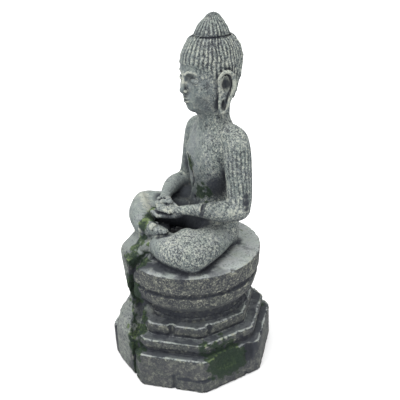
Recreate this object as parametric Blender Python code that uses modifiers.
"""Seated figure in meditation on a stepped octagonal pedestal, with two boulders at its front.

Metres, +Z up. The origin is on the ground under the middle of the pedestal. The figure faces -Y,
so its own left side is +X. Every piece is one closed solid. Neighbours keep a gap of GAP, and they
register on spigots: each course of the pedestal has a round boss that enters the course above it,
the hips sit on a boss of the seat slab, and the neck is a tenon in the shoulders.
"""
import math

import bmesh
import bpy
from mathutils import Matrix, Vector

MM = 0.001
GAP = 0.3 * MM

# Pedestal: eight-sided courses, measured across flats, then the turned courses above them.
PLINTH_FLATS = 90.4 * MM
PLINTH_FOOT_FLATS = 90.0 * MM
PLINTH_AXIS_Y = 0.6 * MM
PLINTH_TOP = 24.0 * MM
LOWER_STEP_FLATS = 83.0 * MM
LOWER_STEP_TOP = 30.0 * MM
UPPER_STEP_FLATS = 71.0 * MM
UPPER_STEP_TOP = 36.6 * MM
DRUM_TOP = 46.8 * MM
DISC_TOP = 57.0 * MM
GROOVE_TOP = 60.0 * MM
SEAT_TOP = 70.0 * MM
TURNED_AXIS_Y = 2.8 * MM
DRUM_RADIUS = 34.0 * MM
DRUM_WAIST_RADIUS = 31.8 * MM
DISC_RADIUS = 39.0 * MM
DISC_FOOT_RADIUS = 36.2 * MM
GROOVE_RADIUS = 36.4 * MM
SEAT_RADIUS = 40.2 * MM
EDGE_CHAMFER = 0.7 * MM
EDGE_ROUND = 1.2 * MM

# Spigots between the courses.
SPIGOT_HEIGHT = 3.0 * MM
SPIGOT_RADII = {
    "base_plinth": 22.0 * MM,
    "lower_step": 20.0 * MM,
    "upper_step": 18.0 * MM,
    "neck_drum": 16.0 * MM,
    "lower_disc": 14.0 * MM,
    "seat_slab": 8.0 * MM,
}
HIP_SPIGOT_Y = 17.0 * MM

# The figure stands on the seat slab. Its top, the tip of the topknot, is 200 mm above the ground.
FIGURE_BOTTOM = SEAT_TOP + GAP

# The two boulders meet at a level joint.
ROCK_JOINT = 46.6 * MM
ROCK_FULLNESS = 0.65

TURN_STEPS = 32
PIN_STEPS = 20
BROAD_SIDES = 12
LIMB_SIDES = 8


def new_collection(name):
    """Return an empty collection linked to the scene."""
    collection = bpy.data.collections.new(name)
    bpy.context.scene.collection.children.link(collection)
    return collection


def stone(name, colour, roughness):
    """Return a matt stone material of the given base colour."""
    material = bpy.data.materials.new(name)
    material.use_nodes = True
    shader = material.node_tree.nodes["Principled BSDF"]
    shader.inputs["Base Color"].default_value = (*colour, 1.0)
    shader.inputs["Roughness"].default_value = roughness
    shader.inputs["Metallic"].default_value = 0.0
    return material


def add_object(name, mesh, collection, material=None):
    """Link a mesh as a named object, and mark it as a guide if it has no material."""
    obj = bpy.data.objects.new(name, mesh)
    collection.objects.link(obj)
    if material:
        mesh.materials.append(material)
    else:
        obj.hide_render = True
        obj.display_type = "WIRE"
    return obj


def mesh_from(bm, name):
    """Turn a bmesh into a smooth-shaded mesh whose faces point outwards."""
    bmesh.ops.recalc_face_normals(bm, faces=bm.faces[:])
    mesh = bpy.data.meshes.new(name)
    bm.to_mesh(mesh)
    bm.free()
    mesh.shade_smooth()
    mesh.set_sharp_from_angle(angle=math.radians(40))
    return mesh


def subdivide(obj, levels):
    """Round a coarse cage with Subdivision Surface."""
    modifier = obj.modifiers.new("Round", "SUBSURF")
    modifier.levels = levels
    modifier.render_levels = levels


def boolean(obj, other, operation):
    """Cut or join another solid."""
    modifier = obj.modifiers.new(f"{operation.title()} {other.name}", "BOOLEAN")
    modifier.operation = operation
    modifier.solver = "EXACT"
    modifier.object = other


def course(name, flats_bottom, flats_top, bottom, top, collection, material=None):
    """An eight-sided block with a flat towards the front, tapering between two widths."""
    bm = bmesh.new()
    corner = 1.0 / math.cos(math.pi / 8)
    bmesh.ops.create_cone(
        bm, cap_ends=True, segments=8, depth=top - bottom,
        radius1=flats_bottom / 2 * corner, radius2=flats_top / 2 * corner)
    bmesh.ops.rotate(bm, verts=bm.verts[:], cent=(0, 0, 0), matrix=Matrix.Rotation(math.pi / 8, 3, "Z"))
    bmesh.ops.translate(bm, verts=bm.verts[:], vec=(0, PLINTH_AXIS_Y, (top + bottom) / 2))
    obj = add_object(name, mesh_from(bm, name), collection, material)
    bevel = obj.modifiers.new("Worn edge", "BEVEL")
    bevel.width = EDGE_CHAMFER
    bevel.segments = 1
    return obj


def turned(name, profile, axis_y, collection, material=None):
    """Turn a profile of (radius, height) points, given from the top down, about a vertical axis."""
    mesh = bpy.data.meshes.new(name)
    edges = [(i, i + 1) for i in range(len(profile) - 1)]
    mesh.from_pydata([(radius, 0, height) for radius, height in profile], edges, [])
    obj = add_object(name, mesh, collection, material)
    obj.location = (0, axis_y, 0)
    screw = obj.modifiers.new("Turn", "SCREW")
    screw.axis = "Z"
    screw.steps = TURN_STEPS
    screw.render_steps = TURN_STEPS
    screw.use_merge_vertices = True
    screw.merge_threshold = 0.01 * MM
    return obj


def round_pin(name, radius, bottom, top, centre, collection):
    """A guide cylinder for a spigot or its socket."""
    bm = bmesh.new()
    bmesh.ops.create_cone(bm, cap_ends=True, segments=PIN_STEPS, depth=top - bottom,
                          radius1=radius, radius2=radius)
    bmesh.ops.translate(bm, verts=bm.verts[:], vec=(centre[0], centre[1], (top + bottom) / 2))
    return add_object(name, mesh_from(bm, name), collection)


def block(name, low, high, collection):
    """A guide box between two corners."""
    bm = bmesh.new()
    bmesh.ops.create_cube(bm, size=1.0)
    size = Vector(high) - Vector(low)
    centre = (Vector(high) + Vector(low)) / 2
    bmesh.ops.scale(bm, verts=bm.verts[:], vec=size)
    bmesh.ops.translate(bm, verts=bm.verts[:], vec=centre)
    return add_object(name, mesh_from(bm, name), collection)


def form(name, stations, up, sides, collection, material=None, grow=0.0, fullness=1.0):
    """A soft form: one ring is extruded through stations, and the cage is then subdivided.

    A station is a centre and the ring's half width and half height in millimetres. `up` is the
    direction that the half height follows. `grow` makes the form larger all round, as a cutter.
    A `fullness` below 1 squares the ring up.
    """
    centres = [Vector(centre) * MM for centre, _ in stations]
    halves = [(half[0] * MM, half[1] * MM) for _, half in stations]
    swell = 6.0 / (4.0 + 2.0 * math.cos(2 * math.pi / sides))
    last = len(stations) - 1
    bm = bmesh.new()
    ring = bmesh.ops.create_circle(bm, cap_ends=True, segments=sides, radius=1.0)["verts"]
    for index, centre in enumerate(centres):
        tangent = (centres[min(index + 1, last)] - centres[max(index - 1, 0)]).normalized()
        across = tangent.cross(Vector(up)).normalized()
        rise = across.cross(tangent).normalized()
        reach = {0: -grow, last: grow}.get(index, 0.0)
        wide, high = ((half + grow) * swell for half in halves[index])
        if index:
            cap = next(face for face in bm.faces if set(face.verts) == set(ring))
            grown = bmesh.ops.extrude_face_region(bm, geom=[cap])["geom"]
            fresh = {item for item in grown if isinstance(item, bmesh.types.BMVert)}
            ring = [edge.other_vert(vert) for vert in ring
                    for edge in vert.link_edges if edge.other_vert(vert) in fresh]
            if index > 1:
                bmesh.ops.delete(bm, geom=[cap], context="FACES_ONLY")
        for step, vert in enumerate(ring):
            angle = 2 * math.pi * step / sides
            vert.co = (centre + tangent * reach + across * wide * filled(math.cos(angle), fullness)
                       + rise * high * filled(math.sin(angle), fullness))
    obj = add_object(name, mesh_from(bm, name), collection, material)
    subdivide(obj, 1)
    return obj


def filled(share, fullness):
    """Push a sine or cosine towards 1 or -1, so that a round ring becomes a fuller one."""
    return math.copysign(abs(share) ** fullness, share)


def mirrored(stations):
    """The same stations on the other side of the figure."""
    return [((-centre[0], centre[1], centre[2]), half) for centre, half in stations]


# Stations of the soft forms, in millimetres: a centre, and the half widths of the ring there.
UPRIGHT = (0, 1, 0)
LEVEL = (0, 0, 1)
TORSO = [
    ((0, 17, 70.0), (17.5, 11.5)), ((0, 17, 72.5), (18.5, 12.5)), ((0, 17, 80), (19, 13)),
    ((0, 17.5, 88), (16, 11.5)), ((0, 18, 97), (13.5, 10.5)), ((0, 18, 107), (14.5, 10.8)),
    ((0, 18.5, 119), (17.5, 11.5)), ((0.2, 20.0, 130), (18.2, 11.0)), ((0.8, 21.0, 137), (16.2, 9.4)),
    ((1.0, 21.4, 141.5), (11.6, 8.4)), ((0.3, 21.2, 145), (8.8, 8.2)), ((0, 21.2, 147), (8.4, 8.2)),
]
HEAD = [
    ((0, 21.2, 139.0), (7.0, 7.0)), ((0, 21.0, 143), (7.5, 7.5)), ((0, 20.2, 148), (8.0, 8.6)),
    ((0, 17.8, 151.5), (10.5, 12.4)), ((0, 17.6, 157), (13.6, 15.0)), ((0, 18.8, 165), (15.3, 17.2)),
    ((0, 19.8, 173), (15.6, 18.0)), ((0, 20.4, 180), (14.4, 17.0)), ((0, 20.8, 185.5), (11.6, 13.6)),
    ((0, 21.0, 188.6), (8.0, 9.6)),
]
TOPKNOT = [
    ((0, 21.0, 187.2), (9.2, 9.2)), ((0, 21.1, 188.6), (9.9, 9.9)), ((0, 21.5, 192.4), (8.2, 8.2)),
    ((0, 22.1, 196.4), (5.0, 5.0)), ((0, 22.6, 199.0), (2.2, 2.2)), ((0, 22.8, 200.0), (1.0, 1.0)),
]
EAR = [
    ((15.0, 20.4, 171.6), (1.0, 1.6)), ((15.9, 20.4, 169.8), (1.6, 3.2)),
    ((16.6, 19.8, 165.5), (1.9, 3.8)), ((16.0, 18.8, 158.5), (1.8, 3.2)),
    ((14.2, 17.8, 152.0), (1.6, 2.6)), ((13.4, 17.4, 148.6), (1.2, 1.8)),
]
LEFT_UPPER_ARM = [
    ((18.0, 21.8, 141.4), (4.2, 4.2)), ((18.6, 21.8, 139.6), (6.2, 6.4)),
    ((19.8, 21.8, 133.5), (7.2, 7.8)), ((22.6, 21.4, 122.0), (7.2, 7.6)),
    ((24.8, 20.4, 110.0), (6.8, 7.2)), ((26.6, 18.8, 99.0), (6.6, 7.0)),
    ((27.2, 18.2, 93.0), (5.6, 6.0)), ((27.2, 18.0, 91.0), (3.6, 3.8)),
]
RIGHT_UPPER_ARM = [
    ((-16.6, 21.6, 138.4), (4.2, 4.2)), ((-17.4, 21.6, 136.4), (6.2, 6.4)),
    ((-19.2, 21.6, 130.6), (7.2, 7.8)), ((-22.4, 21.2, 120.0), (7.2, 7.6)),
    ((-24.8, 20.4, 109.0), (6.8, 7.2)), ((-26.6, 18.8, 99.0), (6.6, 7.0)),
    ((-27.2, 18.2, 93.0), (5.6, 6.0)), ((-27.2, 18.0, 91.0), (3.6, 3.8)),
]
FOREARM = [
    ((27.2, 14.2, 97.0), (6.2, 5.8)), ((24.4, 7.6, 98.2), (6.4, 5.8)),
    ((19.0, 0.4, 98.0), (5.6, 5.0)), ((13.0, -5.4, 97.4), (4.4, 4.0)),
    ((7.6, -9.6, 97.0), (3.6, 3.1)),
]
LEFT_HAND = [
    ((9.0, -8.6, 96.0), (3.0, 2.0)), ((6.0, -11.2, 94.6), (4.0, 2.0)),
    ((0.5, -14.2, 93.8), (5.2, 1.9)), ((-5.5, -15.2, 93.6), (4.8, 1.6)),
    ((-9.5, -15.0, 93.8), (3.4, 1.2)),
]
RIGHT_HAND = [
    ((-9.2, -8.8, 99.2), (3.0, 2.2)), ((-6.0, -11.0, 98.4), (4.0, 2.2)),
    ((-0.5, -12.8, 97.8), (5.0, 1.9)), ((4.5, -12.6, 97.8), (4.6, 1.6)),
    ((8.5, -11.4, 98.2), (3.2, 1.2)),
]
LEFT_THIGH = [
    ((8.0, 22.0, 79.8), (9.0, 9.0)), ((12.0, 16.0, 79.8), (10.0, 10.0)),
    ((18.5, 5.0, 79.6), (10.2, 9.8)), ((24.0, -5.0, 79.4), (9.8, 9.6)),
    ((27.2, -12.5, 79.2), (8.8, 9.0)), ((28.6, -17.0, 79.0), (6.4, 6.6)),
    ((29.2, -19.4, 79.0), (3.4, 3.6)),
]
LEFT_SHIN = [
    ((27.0, -12.0, 79.0), (8.0, 8.0)), ((21.0, -15.2, 79.0), (8.6, 8.6)),
    ((12.0, -17.0, 78.6), (8.2, 8.2)), ((3.0, -16.6, 77.8), (6.6, 7.0)),
    ((-4.5, -14.6, 76.8), (5.2, 5.8)),
]
LEFT_FOOT = [
    ((-2.5, -14.8, 76.4), (5.0, 5.4)), ((-7.5, -13.2, 75.6), (5.6, 5.0)),
    ((-14.0, -9.6, 74.8), (5.4, 4.4)), ((-20.0, -5.6, 74.0), (4.6, 3.6)),
    ((-24.0, -2.8, 73.6), (3.0, 2.6)),
]
RIGHT_THIGH = [
    ((-8.0, 22.0, 79.8), (9.0, 9.0)), ((-12.0, 16.0, 80.6), (10.0, 10.0)),
    ((-18.5, 6.0, 83.0), (10.2, 9.8)), ((-25.5, -3.0, 85.4), (9.8, 9.4)),
    ((-31.0, -10.2, 86.4), (9.2, 9.2)), ((-34.2, -14.0, 86.2), (7.0, 7.2)),
    ((-35.6, -16.0, 86.0), (3.8, 4.0)),
]
RIGHT_SHIN = [
    ((-32.0, -10.0, 85.6), (7.8, 8.2)), ((-26.0, -15.0, 85.4), (8.4, 8.6)),
    ((-17.5, -18.6, 85.2), (7.2, 7.4)), ((-10.0, -20.2, 85.2), (5.8, 6.0)),
    ((-4.5, -20.0, 86.0), (4.6, 4.8)),
]
RIGHT_FOOT = [
    ((-6.0, -20.4, 85.8), (4.2, 4.6)), ((-1.0, -19.4, 86.6), (4.6, 4.4)),
    ((5.0, -16.4, 87.6), (4.6, 3.8)), ((9.6, -12.8, 88.6), (4.0, 3.0)),
    ((12.0, -10.6, 89.2), (2.6, 2.0)),
]
ROCK_LOWER = [
    ((-4.0, -34.0, -1.0), (15.4, 11.0)), ((-4.0, -34.0, 8), (16.4, 11.8)),
    ((-4.0, -34.0, 22), (16.6, 11.8)), ((-4.5, -32.6, 30), (15.6, 10.8)),
    ((-5.5, -31.0, 37), (13.0, 9.4)), ((-6.5, -30.0, 43.5), (11.0, 8.2)),
    ((-7.5, -29.6, 48.0), (9.4, 7.2)),
]
ROCK_UPPER = [
    ((-7.0, -29.0, 46.0), (9.4, 7.4)), ((-8.0, -28.0, 51.0), (12.2, 9.0)),
    ((-9.5, -26.6, 60.0), (14.8, 10.0)), ((-10.0, -25.6, 69.0), (15.4, 10.2)),
    ((-10.5, -24.6, 76.0), (12.4, 8.4)), ((-11.0, -23.8, 79.6), (8.0, 5.6)),
    ((-11.0, -23.6, 81.0), (4.4, 3.4)),
]


def pedestal(parts, guides, granite):
    """The plinth, two eight-sided steps, a drum, a disc with its groove, and the seat slab."""
    made = {
        "base_plinth": course("base_plinth", PLINTH_FOOT_FLATS, PLINTH_FLATS, 0.0, PLINTH_TOP,
                              parts, granite),
        "lower_step": course("lower_step", LOWER_STEP_FLATS, LOWER_STEP_FLATS, PLINTH_TOP + GAP,
                             LOWER_STEP_TOP, parts, granite),
        "upper_step": course("upper_step", UPPER_STEP_FLATS, UPPER_STEP_FLATS,
                             LOWER_STEP_TOP + GAP, UPPER_STEP_TOP, parts, granite),
        "neck_drum": turned("neck_drum", drum_profile(), TURNED_AXIS_Y, parts, granite),
        "lower_disc": turned("lower_disc", disc_profile(), TURNED_AXIS_Y, parts, granite),
        "seat_slab": turned("seat_slab", seat_profile(), TURNED_AXIS_Y, parts, granite),
    }
    tops = [PLINTH_TOP, LOWER_STEP_TOP, UPPER_STEP_TOP, DRUM_TOP, GROOVE_TOP, SEAT_TOP]
    names = list(made)
    for index, name in enumerate(names):
        top = tops[index]
        radius = SPIGOT_RADII[name]
        centre = (0, HIP_SPIGOT_Y if name == "seat_slab" else TURNED_AXIS_Y)
        boss = round_pin(f"{name}_spigot", radius, top - 2 * GAP, top + SPIGOT_HEIGHT, centre, guides)
        boolean(made[name], boss, "UNION")
        if index + 1 < len(names):
            socket = round_pin(f"{name}_socket", radius + GAP, top - GAP,
                               top + SPIGOT_HEIGHT + GAP, centre, guides)
            boolean(made[names[index + 1]], socket, "DIFFERENCE")
    return made


def drum_profile():
    """A drum with a hollow waist, from the top down."""
    bottom = UPPER_STEP_TOP + GAP
    height = DRUM_TOP - bottom
    rows = 8
    points = [(0.0, DRUM_TOP)]
    for row in range(rows + 1):
        share = row / rows
        dip = math.sin(math.pi * share)
        radius = DRUM_RADIUS - (DRUM_RADIUS - DRUM_WAIST_RADIUS) * dip
        points.append((radius, DRUM_TOP - height * share))
    return points + [(0.0, bottom)]


def disc_profile():
    """A disc that narrows downwards, with the narrow groove under the seat slab on top of it."""
    bottom = DRUM_TOP + GAP
    return [
        (0.0, GROOVE_TOP), (GROOVE_RADIUS, GROOVE_TOP), (GROOVE_RADIUS, DISC_TOP + EDGE_ROUND),
        (DISC_RADIUS - EDGE_ROUND, DISC_TOP), (DISC_RADIUS, DISC_TOP - EDGE_ROUND),
        (DISC_RADIUS, DISC_TOP - 3 * EDGE_ROUND), (DISC_FOOT_RADIUS + EDGE_ROUND, bottom + 2 * EDGE_ROUND),
        (DISC_FOOT_RADIUS, bottom), (0.0, bottom),
    ]


def seat_profile():
    """The thick slab that the figure sits on, with a worn rim."""
    bottom = GROOVE_TOP + GAP
    foot = SEAT_RADIUS - EDGE_ROUND / 2
    return [
        (0.0, SEAT_TOP), (SEAT_RADIUS - 2 * EDGE_ROUND, SEAT_TOP),
        (SEAT_RADIUS - EDGE_ROUND / 2, SEAT_TOP - EDGE_ROUND / 2),
        (SEAT_RADIUS, SEAT_TOP - 2 * EDGE_ROUND), (foot, bottom + EDGE_ROUND),
        (foot - EDGE_ROUND, bottom), (0.0, bottom),
    ]


FORMS = {
    "torso": (TORSO, UPRIGHT, BROAD_SIDES, "figure"),
    "head": (HEAD, UPRIGHT, BROAD_SIDES, "figure"),
    "topknot": (TOPKNOT, UPRIGHT, LIMB_SIDES, "figure"),
    "left_ear": (EAR, UPRIGHT, LIMB_SIDES, "figure"),
    "right_ear": (mirrored(EAR), UPRIGHT, LIMB_SIDES, "figure"),
    "left_upper_arm": (LEFT_UPPER_ARM, UPRIGHT, LIMB_SIDES, "figure"),
    "right_upper_arm": (RIGHT_UPPER_ARM, UPRIGHT, LIMB_SIDES, "figure"),
    "left_forearm": (FOREARM, LEVEL, LIMB_SIDES, "figure"),
    "right_forearm": (mirrored(FOREARM), LEVEL, LIMB_SIDES, "figure"),
    "left_hand": (LEFT_HAND, LEVEL, LIMB_SIDES, "figure"),
    "right_hand": (RIGHT_HAND, LEVEL, LIMB_SIDES, "figure"),
    "left_thigh": (LEFT_THIGH, LEVEL, LIMB_SIDES, "figure"),
    "left_shin": (LEFT_SHIN, LEVEL, LIMB_SIDES, "figure"),
    "left_foot": (LEFT_FOOT, LEVEL, LIMB_SIDES, "figure"),
    "right_thigh": (RIGHT_THIGH, LEVEL, LIMB_SIDES, "figure"),
    "right_shin": (RIGHT_SHIN, LEVEL, LIMB_SIDES, "figure"),
    "right_foot": (RIGHT_FOOT, LEVEL, LIMB_SIDES, "figure"),
    "rock_lower": (ROCK_LOWER, UPRIGHT, BROAD_SIDES, "rock"),
    "rock_upper": (ROCK_UPPER, UPRIGHT, BROAD_SIDES, "rock"),
}

# Which neighbours each soft form gives way to.
GIVES_WAY = {
    "torso": ["head", "left_upper_arm", "right_upper_arm"],
    "head": ["topknot", "left_ear", "right_ear"],
    "left_forearm": ["left_upper_arm"],
    "right_forearm": ["right_upper_arm", "right_thigh"],
    "left_hand": ["left_forearm", "right_hand"],
    "right_hand": ["right_forearm"],
    "left_thigh": ["torso"],
    "right_thigh": ["torso"],
    "left_shin": ["left_thigh", "right_shin"],
    "right_shin": ["right_thigh"],
    "right_foot": ["right_shin", "left_shin", "left_thigh"],
    "left_foot": ["left_shin", "right_shin", "right_thigh", "torso"],
    "rock_upper": ["left_shin", "right_shin", "right_foot", "left_foot"],
}
COURSES_CUT_BY_ROCK = {
    "rock_lower": ["base_plinth", "lower_step", "upper_step", "neck_drum"],
    "rock_upper": ["neck_drum", "lower_disc", "seat_slab"],
}
ON_THE_SEAT = ["left_thigh", "right_thigh", "left_shin", "left_foot", "torso"]


def build():
    """Make every part and cut it clear of its neighbours."""
    for obj in list(bpy.data.objects):
        bpy.data.objects.remove(obj, do_unlink=True)
    parts = new_collection("buddha_statue")
    guides = new_collection("cutters")
    finishes = {
        "figure": stone("figure_stone", (0.33, 0.38, 0.38), 0.86),
        "rock": stone("boulder_stone", (0.30, 0.36, 0.34), 0.9),
    }
    made = pedestal(parts, guides, stone("pedestal_stone", (0.28, 0.33, 0.34), 0.88))
    cutters = {}
    for name, (stations, up, sides, finish) in FORMS.items():
        fullness = ROCK_FULLNESS if finish == "rock" else 1.0
        made[name] = form(name, stations, up, sides, parts, finishes[finish], fullness=fullness)
        cutters[name] = form(f"{name}_clearance", stations, up, sides, guides, grow=GAP,
                             fullness=fullness)
    for name, neighbours in GIVES_WAY.items():
        for neighbour in neighbours:
            boolean(made[name], cutters[neighbour], "DIFFERENCE")
    for rock, courses in COURSES_CUT_BY_ROCK.items():
        for name in courses:
            boolean(made[name], cutters[rock], "DIFFERENCE")

    wide = PLINTH_FLATS
    below_seat = block("below_seat", (-wide, -wide, 0), (wide, wide, FIGURE_BOTTOM), guides)
    for name in ON_THE_SEAT:
        boolean(made[name], below_seat, "DIFFERENCE")
    hips_socket = round_pin("hips_socket", SPIGOT_RADII["seat_slab"] + GAP, SEAT_TOP - GAP,
                            SEAT_TOP + SPIGOT_HEIGHT + GAP, (0, HIP_SPIGOT_Y), guides)
    boolean(made["torso"], hips_socket, "DIFFERENCE")

    joint = ROCK_JOINT
    below_ground = block("below_ground", (-wide, -wide, -wide), (wide, wide, 0), guides)
    above_joint = block("above_joint", (-wide, -wide, joint), (wide, wide, 2 * wide), guides)
    below_joint = block("below_joint", (-wide, -wide, 0), (wide, wide, joint + GAP), guides)
    boolean(made["rock_lower"], below_ground, "DIFFERENCE")
    boolean(made["rock_lower"], above_joint, "DIFFERENCE")
    boolean(made["rock_upper"], below_joint, "DIFFERENCE")


build()
